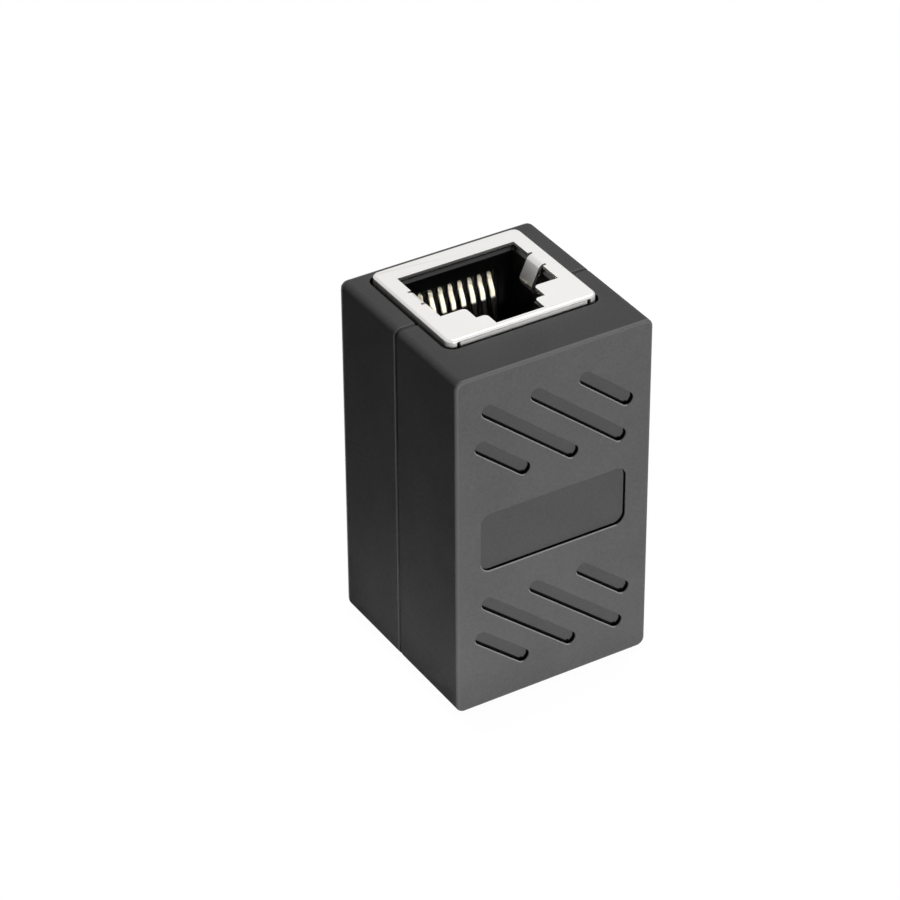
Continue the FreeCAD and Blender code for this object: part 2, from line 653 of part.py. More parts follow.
def housing(jack, turn):
    """The moulded plastic that guides the plug and stands on the board."""
    body = new_piece(jack + "_housing", turn)
    blank_outline = new_sketch(body, jack + "_housing_blank", "XY", HOUSING_FOOT)
    chamfered_box_outline(blank_outline, HOUSING_SIDE, HOUSING_FRONT, HOUSING_BACK, "housing_chamfer")
    pad(body, blank_outline, f"{HOUSING_TOP} - {HOUSING_FOOT}")

    bay = new_sketch(body, jack + "_bay", "XY", HOUSING_TOP)
    outline(bay, stepped_port(PORT_SIDE, PORT_BACK, "(port_front - port_lip)",
                              "(step_width / 2 - port_lip)", f"({STEP_FRONT} - port_lip)",
                              "(slot_width / 2 - port_lip)", f"({SLOT_FRONT} - port_lip)"))
    cut = pocket(body, bay, f"{HOUSING_TOP} - {PORT_FLOOR}")
    bay_side = amount(PORT_SIDE) + SAME_PLACE
    bay_back = amount(PORT_BACK) + SAME_PLACE
    bay_front = -amount("port_front")
    inner_rim = edges_level_with(
        cut, 2, HOUSING_TOP,
        lambda point: abs(point.x) < bay_side and bay_front < point.y < bay_back)
    bevel_edges(body, cut, inner_rim, "mouth_chamfer", jack + "_mouth")

    spring_room = new_sketch(body, jack + "_spring_room", "XY", HOUSING_TOP)
    room_side = f"({PORT_SIDE} + tab_pocket)"
    half_room = "(tab_width / 2 + tab_pocket_margin)"
    box_outline(spring_room, f"-{room_side}", room_side,
                f"tab_place - {half_room}", f"tab_place + {half_room}")
    pocket(body, spring_room, f"{HOUSING_TOP} - ({MOUTH} - tab_end - tab_pocket_margin)")

    insert_room = new_sketch(body, jack + "_insert_room", "YZ", f"-{WINDOW_SIDE}")
    room_front = f"({INSERT_FRONT} - insert_clearance)"
    room_top = f"({INSERT_TOP} + insert_clearance)"
    outline(insert_room, [
        (room_front, f"{HOUSING_FOOT} - {OVERCUT}"),
        (f"{HOUSING_BACK} + {OVERCUT}", f"{HOUSING_FOOT} - {OVERCUT}"),
        (f"{HOUSING_BACK} + {OVERCUT}", WINDOW_TOP),
        (f"{PORT_BACK} - {OVERCUT}", WINDOW_TOP),
        (f"{PORT_BACK} - {OVERCUT}", PORT_FLOOR),
        (PORT_BACK, PORT_FLOOR),
        (PORT_BACK, room_top),
        (room_front, room_top),
    ])
    pocket(body, insert_room, f"2 * {WINDOW_SIDE}", along_normal=True)

    core = new_sketch(body, jack + "_core", "XY", HOUSING_FOOT)
    core_side = f"({FOOT_ACROSS} - foot_width / 2 - insert_clearance)"
    box_outline(core, f"-{core_side}", core_side, f"-({HOUSING_FRONT} - core_wall)",
                f"{room_front} - core_wall")
    pocket(body, core, f"{PORT_FLOOR} - core_wall - {HOUSING_FOOT}", along_normal=True)

    feet = new_sketch(body, jack + "_feet", "XY", HOUSING_FOOT)
    pegs = new_sketch(body, jack + "_pegs", "XY", BOARD_TOP)
    half_foot = "(foot_width / 2)"
    for hand in BOTH_SIDES:
        across = f"{hand} * {FOOT_ACROSS}"
        for along in ("-front_foot_place", "rear_foot_place"):
            box_outline(feet, f"{across} - {half_foot}", f"{across} + {half_foot}",
                        f"{along} - {half_foot}", f"{along} + {half_foot}")
        hexagon_outline(pegs, across, "-front_foot_place", "peg_corner")
    pad(body, feet, "housing_lift", backward=True)
    pad(body, pegs, "peg_length", backward=True)
    return body


def contact_insert(jack, turn):
    """The comb-fronted block that holds the eight contacts in their channels."""
    body = new_piece(jack + "_contact_insert", turn)
    face = f"({PORT_BACK} + insert_clearance)"
    top = f"({WINDOW_TOP} - insert_clearance)"
    side = f"({WINDOW_SIDE} - insert_clearance)"
    block = new_sketch(body, jack + "_insert_block", "YZ", f"-{side}")
    outline(block, [
        (INSERT_FRONT, HOUSING_FOOT),
        (HOUSING_BACK, HOUSING_FOOT),
        (HOUSING_BACK, top),
        (face, top),
        (face, INSERT_TOP),
        (INSERT_FRONT, INSERT_TOP),
    ])
    pad(body, block, f"2 * {side}")

    slot_width = "(contact_width + 2 * comb_clearance)"
    comb = new_sketch(body, jack + "_comb", "YZ", f"{FIRST_CONTACT} - {slot_width} / 2")
    slot_back = f"(({FRONT_LEG} + {BACK_LEG}) / 2)"
    crown_back = f"({BACK_LEG} + contact_thick / 2 + comb_clearance)"
    slot_foot = f"({MOUTH} - comb_depth)"
    outline(comb, [
        (f"{face} - {OVERCUT}", slot_foot),
        (slot_back, slot_foot),
        (slot_back, CROWN_SEAT),
        (crown_back, CROWN_SEAT),
        (crown_back, f"{top} + {OVERCUT}"),
        (f"{face} - {OVERCUT}", f"{top} + {OVERCUT}"),
    ])
    slot = pocket(body, comb, slot_width, along_normal=True)
    row_of(body, slot, comb, "N_Axis", ROW_LENGTH, CONTACT_COUNT)

    channel_width = "(contact_width + 2 * contact_clearance)"
    half = "(contact_thick / 2 + contact_clearance)"
    below = f"{HOUSING_FOOT} - {OVERCUT}"
    above = f"{CROWN_SEAT} + {OVERCUT}"
    slot_top = f"({JOG_TOP} + jog_bend * tan(jog_angle / 2))"
    straight = [
        (f"{BACK_LEG} - {half}", below),
        (f"{BACK_LEG} + {half}", below),
        (f"{BACK_LEG} + {half}", above),
        (f"{BACK_LEG} - {half}", above),
    ]
    jogged = [
        (f"{INNER_ROW} - {half}", below),
        (f"{BACK_LEG} + {half}", below),
        (f"{BACK_LEG} + {half}", above),
        (f"{BACK_LEG} - {half}", above),
        (f"{BACK_LEG} - {half}", slot_top),
        (f"{INNER_ROW} - {half}", slot_top),
    ]
    for number, corners in enumerate((straight, jogged)):
        start = f"{FIRST_CONTACT} + {number} * contact_pitch - {channel_width} / 2"
        channel = new_sketch(body, f"{jack}_channel_{number + 1}", "YZ", start)
        outline(channel, corners)
        cut = pocket(body, channel, channel_width, along_normal=True)
        row_of(body, cut, channel, "N_Axis", f"{ROW_LENGTH} - contact_pitch", CONTACT_COUNT // 2)
    return body


def contact(jack, turn, number):
    """One spring wire: soldered tail, back leg, crown at the mouth and wiping leg in the port."""
    name = f"{jack}_contact_{number}"
    body = new_piece(name, turn)
    middle = f"({FIRST_CONTACT} + {number - 1} * contact_pitch)"
    tail = f"-({BOARD_TOP} + tail_out)"
    jogged = number % 2 == 0
    row_place = INNER_ROW if jogged else BACK_LEG
    section = new_sketch(body, name + "_section", "XY", tail)
    box_outline(section, f"{middle} - contact_width / 2", f"{middle} + contact_width / 2",
                f"{row_place} - contact_thick / 2", f"{row_place} + contact_thick / 2")
    route = new_sketch(body, name + "_route", "YZ", middle)
    start = [(row_place, tail)]
    if jogged:
        start += [(INNER_ROW, JOG_FOOT, "jog_bend"), (BACK_LEG, JOG_TOP, "jog_bend")]
    outline(route, start + [
        (BACK_LEG, CROWN, "crown_bend"),
        (FRONT_LEG, CROWN, "crown_bend"),
        (FRONT_LEG, f"{MOUTH} - wipe_start", "wipe_bend"),
        (f"{FRONT_LEG} - wipe_reach", f"{MOUTH} - wipe_knee", "wipe_bend"),
        (f"{FRONT_LEG} - tip_reach", f"{MOUTH} - wipe_end"),
    ], closed=False)
    doc.recompute()
    sweep(body, section, route, name + "_wire")
    return body


def circuit_board():
    """The board that both jacks share, with holes for tails, pegs and shield legs."""
    body = new_piece("circuit_board")
    blank = new_sketch(body, "board_blank", "XY", f"-{BOARD_TOP}")
    box_outline(blank, f"-{BOARD_SIDE}", BOARD_SIDE, f"-{BOARD_FRONT}", BOARD_BACK)
    pad(body, blank, "board_thick")

    tail_holes = new_sketch(body, "tail_holes", "XY", BOARD_TOP)
    half_hole = "(hole_width / 2)"
    for row_place in (BACK_LEG, INNER_ROW):
        box_outline(tail_holes, f"{FIRST_CONTACT} - {half_hole}", f"{FIRST_CONTACT} + {half_hole}",
                    f"{row_place} - {half_hole}", f"{row_place} + {half_hole}")
    holes = pocket(body, tail_holes, "board_thick")
    row_of(body, holes, tail_holes, "H_Axis", ROW_LENGTH, CONTACT_COUNT)

    fixings = new_sketch(body, "board_fixings", "XY", BOARD_TOP)
    half_slot = "(shield_sheet / 2 + board_gap)"
    half_leg = "(leg_width / 2 + board_gap)"
    for hand in BOTH_SIDES:
        circle_outline(fixings, f"{hand} * {FOOT_ACROSS}", "-front_foot_place",
                       "peg_corner + board_clearance")
        middle = f"{hand} * ({SHIELD_SIDE} - shield_sheet / 2)"
        for end in BOTH_SIDES:
            place = f"{end} * leg_place"
            box_outline(fixings, f"{middle} - {half_slot}", f"{middle} + {half_slot}",
                        f"{place} - {half_leg}", f"{place} + {half_leg}")
    pocket(body, fixings, "board_thick")
    return body


pieces = [front_shell(), rear_shell(), circuit_board()]
for jack, turn in (("upper", 0.0), ("lower", 180.0)):
    pieces.append(shield(jack, turn))
    pieces.append(housing(jack, turn))
    pieces.append(contact_insert(jack, turn))
    for number in range(1, CONTACT_COUNT + 1):
        pieces.append(contact(jack, turn, number))
doc.recompute()

for item in doc.Objects:
    if "Invalid" in item.State or "Error" in item.State:
        raise ValueError(f"{item.Label} did not build: {item.State}")
for piece in pieces:
    if piece.Shape.isNull() or not piece.Shape.isValid() or len(piece.Shape.Solids) != 1:
        raise ValueError(f"{piece.Label} is not one valid solid")

os.makedirs("parts", exist_ok=True)
for piece in pieces:
    piece.Shape.exportStep(f"parts/{piece.Label}.step")
    box = piece.Shape.BoundBox
    print(f"{piece.Label}: {piece.Shape.Volume:.2f} mm3, X {box.XMin:.2f} to {box.XMax:.2f},"
          f" Y {box.YMin:.2f} to {box.YMax:.2f}, Z {box.ZMin:.2f} to {box.ZMax:.2f}")
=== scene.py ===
# %% [markdown]
# An inline coupler joins two network plugs end to end. A grey plastic sleeve in two halves holds two
# shielded jacks, back to back, and the nickel bezel of each jack stands a little proud of its end.
# The frame brings in every solid piece at its real size. This script gives those pieces the small
# edge radii and the finishes of the real product, and then lights and frames them.

# %% Load the frame
import math

import bmesh
import bpy
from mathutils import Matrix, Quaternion, Vector


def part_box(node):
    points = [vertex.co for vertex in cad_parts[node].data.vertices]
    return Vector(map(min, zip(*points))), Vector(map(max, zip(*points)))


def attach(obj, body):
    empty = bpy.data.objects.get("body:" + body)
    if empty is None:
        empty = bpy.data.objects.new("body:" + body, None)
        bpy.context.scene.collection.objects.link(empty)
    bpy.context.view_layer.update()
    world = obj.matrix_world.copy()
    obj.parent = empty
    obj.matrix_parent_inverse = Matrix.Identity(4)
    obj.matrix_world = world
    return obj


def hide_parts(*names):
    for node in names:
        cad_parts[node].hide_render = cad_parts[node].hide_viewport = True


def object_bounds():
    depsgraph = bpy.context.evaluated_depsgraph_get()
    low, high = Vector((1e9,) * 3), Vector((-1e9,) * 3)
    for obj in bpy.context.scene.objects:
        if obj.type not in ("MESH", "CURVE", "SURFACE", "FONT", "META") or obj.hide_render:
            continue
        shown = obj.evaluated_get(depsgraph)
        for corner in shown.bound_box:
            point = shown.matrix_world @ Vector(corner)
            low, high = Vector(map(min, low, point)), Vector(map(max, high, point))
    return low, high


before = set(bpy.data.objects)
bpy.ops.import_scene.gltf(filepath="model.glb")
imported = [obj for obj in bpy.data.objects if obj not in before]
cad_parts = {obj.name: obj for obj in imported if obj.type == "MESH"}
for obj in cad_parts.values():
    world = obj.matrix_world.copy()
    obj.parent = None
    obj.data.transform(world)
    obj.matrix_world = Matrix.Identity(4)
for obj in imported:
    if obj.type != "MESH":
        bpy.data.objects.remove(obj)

cad_low, cad_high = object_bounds()
MM = 0.001
print("nodes:", len(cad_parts), "size in mm:", [round(side / MM, 2) for side in cad_high - cad_low])

# %% [markdown]
# No moulded or folded piece has a perfectly sharp edge. Light catches on the tiny radius, and that
# thin bright line is what tells the eye how big and how hard the piece is. The solids come in as loose
# triangles, which a bevel can't follow. So a copy is merged first, and its flat areas become single
# faces. The solid itself stays as it is, and the finished copy takes its place.

# %% Copy a solid and merge it
MERGE_DISTANCE = 0.0005 * MM
FLAT_ANGLE = math.radians(0.3)


def select_only(piece):
    """Selects one piece alone, because an operator acts on all that is selected."""
    bpy.ops.object.select_all(action="DESELECT")
    piece.select_set(True)
    bpy.context.view_layer.objects.active = piece


def merge_flats():
    """In edit mode, joins loose corners and makes each flat area a single face."""
    bpy.ops.mesh.select_all(action="SELECT")
    bpy.ops.mesh.remove_doubles(threshold=MERGE_DISTANCE)
    bpy.ops.mesh.dissolve_limited(angle_limit=FLAT_ANGLE)


def merged_copy(node_name, piece_name):
    """A new piece with the node's shape, in flat faces instead of loose triangles."""
    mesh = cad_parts[node_name].data.copy()
    mesh.name = piece_name
    piece = bpy.data.objects.new(piece_name, mesh)
    bpy.context.scene.collection.objects.link(piece)
    select_only(piece)
    bpy.ops.mesh.customdata_custom_splitnormals_clear()
    bpy.ops.object.mode_set(mode="EDIT")
    merge_flats()
    bpy.ops.object.mode_set(mode="OBJECT")
    return piece


# %% [markdown]
# One radius for a whole piece would be easy, but a moulding has sharp and soft edges side by side. A
# Bevel modifier can take a weight from each edge instead, as a share of its width. So each folded edge
# gets the weight for its own radius, and one modifier rounds them all. The weighted normals afterwards
# keep the broad faces looking flat, so that only the small radius catches the light.

# %% Round the edges of a copy
FOLD_ANGLE = math.radians(20)
SMOOTH_ANGLE = math.radians(40)
WIDEST = 0.4 * MM
EDGE_SEGMENTS = 3
SMALL_EDGE_SEGMENTS = 2
NEIGHBOURS_SLOT = -1


def soften(piece, width_of, segments=EDGE_SEGMENTS, edge_slot=NEIGHBOURS_SLOT):
    """Rounds each folded edge by the width that width_of gives for its middle and its two faces.

    The new faces take the material slot edge_slot, or their neighbours' own."""
    shape = bmesh.new()
    shape.from_mesh(piece.data)
    weights = shape.edges.layers.float.new("bevel_weight_edge")
    rounded = 0
    for edge in shape.edges:
        if len(edge.link_faces) != 2 or edge.calc_face_angle(0.0) < FOLD_ANGLE:
            continue
        middle = (edge.verts[0].co + edge.verts[1].co) / 2
        width = width_of(middle, [face.normal for face in edge.link_faces])
        edge[weights] = width / WIDEST
        rounded += width > 0
    shape.to_mesh(piece.data)
    shape.free()
    select_only(piece)
    bpy.ops.object.modifier_add(type="BEVEL")
    bevel = piece.modifiers[-1]
    bevel.limit_method = "WEIGHT"
    bevel.width = WIDEST
    bevel.segments = segments
    bevel.use_clamp_overlap = False
    bevel.loop_slide = False
    bevel.miter_outer = "MITER_ARC"
    bevel.material = edge_slot
    bpy.ops.object.modifier_apply(modifier=bevel.name)
    bpy.ops.object.shade_smooth_by_angle(angle=SMOOTH_ANGLE)
    bpy.ops.object.modifier_add(type="WEIGHTED_NORMAL")
    weighted = piece.modifiers[-1]
    weighted.keep_sharp = True
    bpy.ops.object.modifier_apply(modifier=weighted.name)
    print(piece.name, "edges rounded:", rounded, "faces:", len(piece.data.polygons))
    return piece


# %% [markdown]
# Every piece here rides on the body called root, because nothing on a coupler moves.

# %% Put a piece in its solid's place
def stand_for(piece, node_name):
    """The piece takes the node's place."""
    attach(piece, "root")
    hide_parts(node_name)
    return piece


# %% [markdown]
# The two halves of the sleeve are injection moulded. The front half ends in a fine edge and the rear
# half in a broader one, broadest at its upright corners. The rims of the grip grooves and of the recess
# are slightly dulled, and the ends are cut crisply round the jacks. Each edge is told by where it lies,
# so the function below asks how deep it is behind the broad face and how far it is from the outline and
# the seam. Hidden ribs get no radius, which keeps the mesh light.

# %% Which edges of a sleeve half are rounded, and how much
FRONT = -1
REAR = 1
FRONT_EDGE = 0.12 * MM
REAR_EDGE = 0.18 * MM
REAR_UPRIGHT = 0.37 * MM
GROOVE_RIM = 0.09 * MM
SEAM_EDGE = 0.06 * MM
FACE_DEPTH = 0.62 * MM
OUTLINE_BAND = 0.9 * MM
SEAM_BAND = 0.3 * MM
NEAR = 0.01 * MM


def broad_face(low, high, side):
    """Where along y the grooved face of the front or rear half lies."""
    return low.y if side == FRONT else high.y


def distances(place, low, high):
    """How far a place is from the nearer end, and from the nearer of the ends and sides."""
    from_end = min(place.z - low.z, high.z - place.z)
    return from_end, min(place.x - low.x, high.x - place.x, from_end)


def sleeve_edges(low, high, side):
    """A function that gives the width for each edge of a half."""
    face = broad_face(low, high, side)

    def outline_width(normals):
        if side == FRONT:
            return FRONT_EDGE
        # An edge beside an upright side faces well to the left or right, and gets the broad radius.
        upright = max(abs(normal.x) for normal in normals)
        return REAR_EDGE + (REAR_UPRIGHT - REAR_EDGE) * upright ** 2

    def width_of(middle, normals):
        depth = abs(middle.y - face)
        from_outline = distances(middle, low, high)[1]
        if from_outline < OUTLINE_BAND and depth < FACE_DEPTH:
            return outline_width(normals)
        if depth < NEAR:
            return GROOVE_RIM
        if from_outline < SEAM_BAND and abs(middle.y) < SEAM_BAND:
            return SEAM_EDGE
        return 0.0

    return width_of


# %% [markdown]
# A moulding isn't one finish all over. Handling burnishes the rounded edges, and the mould's inserts
# leave a finer grain on the floors of the grooves, which are also painted darker as shade. The walls
# are painted near black as shade, and the lower rims are painted pale as a highlight. Together they
# draw the dark and light line along the low side of each groove. Five material slots on one mesh do
# that, and each face finds its slot by its place and the way it faces.

# %% Slots and places on a sleeve half
PLAIN_SLOT, EDGE_SLOT, PAINTED_SHADE_FLOOR_SLOT, PAINTED_SHADE_WALL_SLOT, PAINTED_HIGHLIGHT_RIM_SLOT = range(5)
SLEEVE_SLOTS = 5
FLAT = 0.99
STEEP = 0.5
RIM_TURN = 0.7
RIM_DEPTH = 0.1 * MM
RECESS_FLOOR_DEPTH = 0.3 * MM
GROOVE_FLOOR_DEPTH = 0.45 * MM
GROOVE_SLOPE = math.radians(39.5)
WINDOW_GAP = 0.35 * MM
WINDOW_DEPTH = 5.0 * MM


def uphill(side):
    """The way that the lower wall of a groove faces."""
    return Vector((-side * math.sin(GROOVE_SLOPE), 0.0, math.cos(GROOVE_SLOPE)))


# %% [markdown]
# Shade gathers where a groove's lower wall meets its floor, and here it is painted. A texture could
# paint that, but a narrow strip of real faces stays in place at any distance. Inset makes a ring just
# inside each floor, and only the part of the ring that lies along the lower wall takes the wall's
# painted shade.

# %% Paint shade at the foot of each groove's lower wall
FOOT_WIDTH = 0.17 * MM


def select_faces(piece, wanted):
    """Leaves exactly the wanted faces of a piece selected, in object mode."""
    select_only(piece)
    bpy.ops.object.mode_set(mode="EDIT")
    bpy.ops.mesh.select_mode(type="FACE")
    bpy.ops.mesh.select_all(action="DESELECT")
    bpy.ops.object.mode_set(mode="OBJECT")
    for polygon in piece.data.polygons:
        polygon.select = wanted(polygon)


def darken_feet(half, low, high, side):
    """Insets the groove floors, and gives the ring below each lower wall the wall's painted shade."""
    face = broad_face(low, high, side)

    def is_groove_floor(polygon):
        from_outline = distances(polygon.center, low, high)[1]
        return (polygon.normal.y * side > FLAT and from_outline > OUTLINE_BAND
                and GROOVE_FLOOR_DEPTH < abs(polygon.center.y - face) < FACE_DEPTH)

    def is_lower_wall(wall):
        return wall.normal.dot(uphill(side)) > STEEP and abs(wall.normal.y) < STEEP

    select_faces(half, is_groove_floor)
    bpy.ops.object.mode_set(mode="EDIT")
    bpy.ops.mesh.inset(thickness=FOOT_WIDTH, use_individual=True)
    bpy.ops.object.mode_set(mode="OBJECT")
    shape = bmesh.new()
    shape.from_mesh(half.data)
    darkened = 0
    for ring in shape.faces:
        neighbours = {other for edge in ring.edges for other in edge.link_faces if other is not ring}
        beside_floor = not ring.select and any(other.select for other in neighbours)
        if beside_floor and any(is_lower_wall(other) for other in neighbours):
            # The ring beside the lower wall takes the walls' painted shade.
            ring.material_index = PAINTED_SHADE_WALL_SLOT
            darkened += 1
    shape.to_mesh(half.data)
    shape.free()
    print(half.name, "ring faces darkened:", darkened)


# %% [markdown]
# After the bevel, the new edge faces already have their own slot. The rest are sorted by depth: the
# floors lie deepest and take painted shade, the walls stand between and are painted near black as
# shade, and a rim within its own radius of the skin that faces up the slope takes a painted highlight.
# The walls of the window round the bezel take the walls' painted shade too, so the gap there looks
# dark. At the seam, the front half's edge goes back to plain plastic, so that only the rear half's
# edge shows as a pale line.

# %% Sort the faces of a sleeve half
def sort_faces(half, low, high, side):
    """Gives each face of a half the slot of its finish."""
    face = broad_face(low, high, side)
    bezel_low, bezel_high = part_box("upper_shield")
    for polygon in half.data.polygons:
        place = polygon.center
        depth = abs(place.y - face)
        from_end, from_outline = distances(place, low, high)
        in_window = (from_end < WINDOW_DEPTH
                     and bezel_low.x - WINDOW_GAP < place.x < bezel_high.x + WINDOW_GAP
                     and bezel_low.y - WINDOW_GAP < place.y < bezel_high.y + WINDOW_GAP)
        if polygon.material_index == PAINTED_SHADE_WALL_SLOT:
            continue
        if from_outline > OUTLINE_BAND and depth < FACE_DEPTH:
            if polygon.normal.y * side > FLAT:
                # Deep flat floors take the painted shade.
                polygon.material_index = PAINTED_SHADE_FLOOR_SLOT if depth > RECESS_FLOOR_DEPTH else PLAIN_SLOT
            elif depth > RIM_DEPTH:
                # Steep faces below the rim are walls, painted near black as shade.
                polygon.material_index = PAINTED_SHADE_WALL_SLOT
            else:
                # A rim that faces up the slope takes a painted highlight.
                level = Vector((polygon.normal.x, 0.0, polygon.normal.z)).normalized()
                polygon.material_index = PAINTED_HIGHLIGHT_RIM_SLOT if level.dot(uphill(side)) > RIM_TURN else PLAIN_SLOT
        elif in_window and abs(polygon.normal.z) < STEEP:
            # The window's walls take the walls' painted shade, so the gap round the bezel looks dark.
            polygon.material_index = PAINTED_SHADE_WALL_SLOT
        elif polygon.material_index == EDGE_SLOT and side == FRONT and abs(place.y) < SEAM_BAND:
            polygon.material_index = PLAIN_SLOT


# %% [markdown]
# Now the helpers run in order on each half. The rings are cut before the bevel, while each groove floor
# is still a single face that Inset can follow.

# %% Sleeve halves
def empty_slots(piece, count):
    """Leaves a piece with this many material slots, to be filled later."""
    piece.data.materials.clear()
    for slot in range(count):
        piece.data.materials.append(None)


sleeve = []
for node_name, side in (("front_shell", FRONT), ("rear_shell", REAR)):
    low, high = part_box(node_name)
    half = merged_copy(node_name, node_name + "_moulding")
    empty_slots(half, SLEEVE_SLOTS)
    darken_feet(half, low, high, side)
    soften(half, sleeve_edges(low, high, side), edge_slot=EDGE_SLOT)
    sort_faces(half, low, high, side)
    sleeve.append(stand_for(half, node_name))

# %% [markdown]
# Each jack sits in a shield folded from thin sheet. Folding leaves a soft outer edge all round the
# bezel, while the punched opening, its springs and its notches stay sharp. The bezel's sides take a
# second slot, a partly matt copy of the nickel that is painted light, to make them look lighter.

# %% Shields
SHEET_EDGE = 0.07 * MM
FOLD_BAND = 0.3 * MM
PAINTED_LIGHT_SIDE_SLOT = 1
SHIELD_SLOTS = 2


def inside_box(place, low, high):
    """How far a place is inside the sides of a box."""
    return min(place.x - low.x, high.x - place.x, place.y - low.y, high.y - place.y)


def finish_shield(shield, low, high):
    """Softens the folded outer edges, and gives the sides below them the painted-light slot."""
    def width_of(middle, normals):
        return SHEET_EDGE if inside_box(middle, low, high) < FOLD_BAND else 0.0

    soften(shield, width_of, segments=SMALL_EDGE_SEGMENTS)
    empty_slots(shield, SHIELD_SLOTS)
    for polygon in shield.data.polygons:
        # The sides below the fold take the partly matt copy, painted light to look lighter.
        if abs(polygon.normal.z) < STEEP and inside_box(polygon.center, low, high) < FOLD_BAND:
            polygon.material_index = PAINTED_LIGHT_SIDE_SLOT


shields = []
for jack in ("upper", "lower"):
    node_name = jack + "_shield"
    shield = merged_copy(node_name, jack + "_shield_folding")
    finish_shield(shield, *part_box(node_name))
    shields.append(stand_for(shield, node_name))
print("shields:", len(shields))

# %% [markdown]
# Inside each port there is a moulded housing, and behind the port's long side a comb that keeps eight
# spring wires apart. The wires are rolled flat before they are bent, so their edges are round. They
# are small, but they are the brightest thing in the port, and sharp edges would make them look cut
# from card.

# %% Housings, combs and contacts
MOULD_EDGE = 0.07 * MM
WIRE_EDGE = 0.05 * MM
CONTACTS_PER_JACK = 8


def everywhere(width):
    """The same width at every folded edge."""
    return lambda middle, normals: width


mouldings = []
contacts = []
for jack in ("upper", "lower"):
    for part in ("housing", "contact_insert"):
        node_name = f"{jack}_{part}"
        moulding = merged_copy(node_name, node_name + "_moulding")
        soften(moulding, everywhere(MOULD_EDGE), segments=SMALL_EDGE_SEGMENTS)
        mouldings.append(stand_for(moulding, node_name))
    for number in range(1, CONTACTS_PER_JACK + 1):
        node_name = f"{jack}_contact_{number}"
        wire = merged_copy(node_name, node_name + "_wire")
        soften(wire, everywhere(WIRE_EDGE), segments=SMALL_EDGE_SEGMENTS)
        contacts.append(stand_for(wire, node_name))
print("mouldings:", len(mouldings), "contacts:", len(contacts))

# %% [markdown]
# A material is a small tree of nodes. One helper adds a node, sets its sockets and links it, so each
# finish below reads as a short list. Colours are written as sRGB hex values, the way a paint chart
# gives them, and turned to the linear values that light needs.

# %% Colour and node helpers
def linear(hex_colour):
    """An sRGB hex value as linear red, green, blue and full alpha."""
    channels = [int(hex_colour[start:start + 2], 16) / 255 for start in (1, 3, 5)]
    light = [c / 12.92 if c <= 0.04045 else ((c + 0.055) / 1.055) ** 2.4 for c in channels]
    return (*light, 1.0)


def add_node(owner, kind, attributes=None, settings=None, links=None):
    """A new node in a material or the world.

    settings go on its sockets, and links join its sockets to other nodes' outputs."""
    tree = owner.node_tree
    added = tree.nodes.new(kind)
    for name, value in (attributes or {}).items():
        setattr(added, name, value)
    for socket, value in (settings or {}).items():
        added.inputs[socket].default_value = value
    for socket, (source, output) in (links or {}).items():
        tree.links.new(source.outputs[output], added.inputs[socket])
    return added


def new_material(name):
    """A material whose tree is still empty."""
    material = bpy.data.materials.new(name)
    material.use_nodes = True
    material.node_tree.nodes.clear()
    return material


def finish_surface(material, shader, output="BSDF"):
    """Links the shader to the material's surface."""
    add_node(material, "ShaderNodeOutputMaterial", links={"Surface": (shader, output)})
    return material


def per_metre(size_in_mm):
    """The Scale that makes one cell of a pattern this many millimetres wide."""
    return 1 / (size_in_mm * MM)


# %% [markdown]
# The sleeve is ABS, moulded in a cavity that was spark eroded. Such a cavity is covered in tiny pits,
# so the plastic comes out matt and slightly grainy, with no clear reflection. The true grain is about
# a tenth of a millimetre, and it is drawn twice as coarse here so that it shows from this distance. A
# second, much larger noise stands for the flow of the melt. One function makes all five finishes of
# the sleeve, from the plain skin to the walls painted near black as shade.

# %% Spark-eroded ABS
GRAIN_MM = 0.22
FLOW_MM = 7.0
FLOW_SHARE = 0.35
SHEEN_SPREAD = 0.08
PIT_DEPTH = 0.02 * MM
ABS_IOR = 1.53


def spark_eroded_abs(name, dark, light, dullness, specular, pits):
    """ABS between two tones. pits is how much the grain shows as relief."""
    material = new_material(name)
    place = add_node(material, "ShaderNodeTexCoord")
    grain = add_node(material, "ShaderNodeTexNoise",
                     settings={"Scale": per_metre(GRAIN_MM), "Detail": 3.0, "Roughness": 0.6},
                     links={"Vector": (place, "Object")})
    flow = add_node(material, "ShaderNodeTexNoise",
                    settings={"Scale": per_metre(FLOW_MM), "Detail": 2.0, "Roughness": 0.5},
                    links={"Vector": (place, "Object")})
    blotch = add_node(material, "ShaderNodeMix",
                      attributes={"data_type": "FLOAT"},
                      settings={"Factor": FLOW_SHARE},
                      links={"A": (grain, "Fac"), "B": (flow, "Fac")})
    tone = add_node(material, "ShaderNodeMix",
                    attributes={"data_type": "RGBA"},
                    settings={"A": linear(dark), "B": linear(light)},
                    links={"Factor": (blotch, "Result")})
    sheen = add_node(material, "ShaderNodeMapRange",
                     settings={"To Min": dullness - SHEEN_SPREAD, "To Max": dullness + SHEEN_SPREAD},
                     links={"Value": (grain, "Fac")})
    relief = add_node(material, "ShaderNodeBump",
                      settings={"Strength": pits, "Distance": PIT_DEPTH},
                      links={"Height": (grain, "Fac")})
    shader = add_node(material, "ShaderNodeBsdfPrincipled",
                      settings={"IOR": ABS_IOR, "Specular IOR Level": specular},
                      links={"Base Color": (tone, "Result"), "Roughness": (sheen, "Result"),
                             "Normal": (relief, "Normal")})
    return finish_surface(material, shader)


# %% [markdown]
# The housings and combs are PBT with glass fibre, moulded in a polished cavity. It is smoother and
# much darker than the sleeve, and the fibre leaves faint streaks along the flow.

# %% Glass-filled PBT
FIBRE_MM = 0.5
FIBRE_STRETCH = 0.25
FIBRE_RIPPLE = 0.01 * MM
PBT_IOR = 1.57


